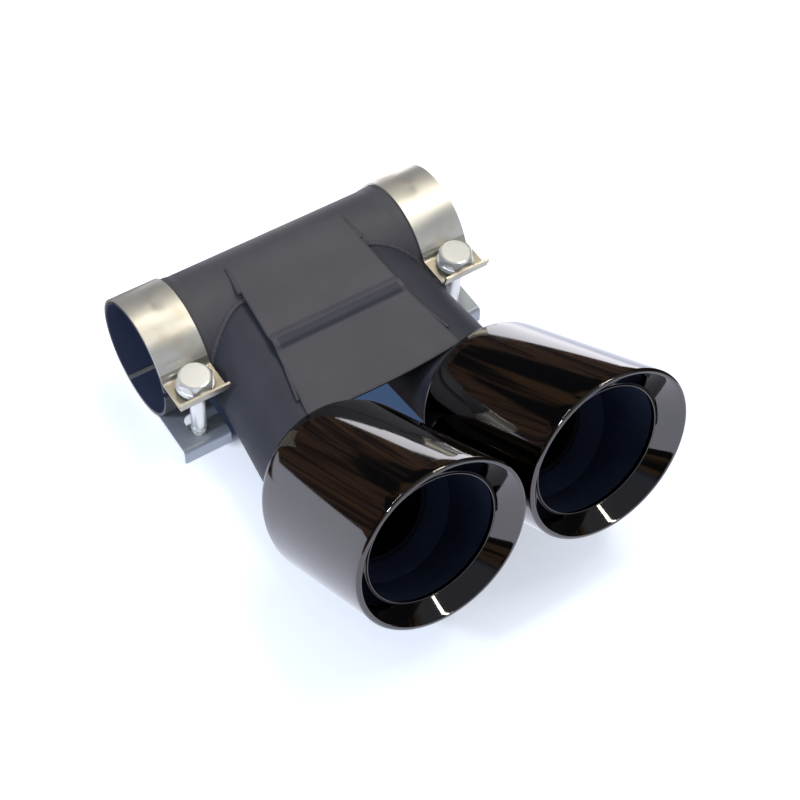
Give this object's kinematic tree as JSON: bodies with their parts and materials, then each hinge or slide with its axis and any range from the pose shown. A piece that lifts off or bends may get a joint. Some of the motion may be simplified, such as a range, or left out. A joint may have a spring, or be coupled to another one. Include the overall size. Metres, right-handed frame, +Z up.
{
  "type": "exhaust tip",
  "caption": "Slash-cut exhaust tips on bent necks from a cross pipe with slotted sockets, band clamps and a ribbed gusset plate.",
  "frame": {"origin": "on the ground below the middle of the box around the part", "axes": "X along the cross pipe, -Y towards the mouths of the tips, +Z up"},
  "size_m": [0.184, 0.2534, 0.1386],
  "materials": {
    "grey_paint": "matt heat-proof paint",
    "black_chrome": "polished black chrome",
    "dark_sleeve": "dark satin",
    "satin_steel": "satin rolled strip",
    "bright_steel": "bright plated"
  },
  "bodies": {
    "root": {"cross_pipe": "grey_paint", "top_gusset_plate": "grey_paint", "left_neck_pipe": "grey_paint", "left_neck_elbow": "grey_paint", "left_saddle_weld": "grey_paint", "left_plate_front_weld": "grey_paint", "left_plate_rear_weld": "grey_paint", "left_tip_shell": "black_chrome", "left_mouth_ring": "black_chrome", "left_tip_sleeve": "dark_sleeve", "left_tip_weld": "grey_paint", "left_clamp_band": "satin_steel", "left_clamp_upper_ear": "satin_steel", "left_clamp_lower_ear": "satin_steel", "left_clamp_bolt": "bright_steel", "left_clamp_washer": "bright_steel", "left_clamp_nut": "bright_steel", "right_neck_pipe": "grey_paint", "right_neck_elbow": "grey_paint", "right_saddle_weld": "grey_paint", "right_plate_front_weld": "grey_paint", "right_plate_rear_weld": "grey_paint", "right_tip_shell": "black_chrome", "right_mouth_ring": "black_chrome", "right_tip_sleeve": "dark_sleeve", "right_tip_weld": "grey_paint", "right_clamp_band": "satin_steel", "right_clamp_upper_ear": "satin_steel", "right_clamp_lower_ear": "satin_steel", "right_clamp_bolt": "bright_steel", "right_clamp_washer": "bright_steel", "right_clamp_nut": "bright_steel"}
  },
  "joints": []
}
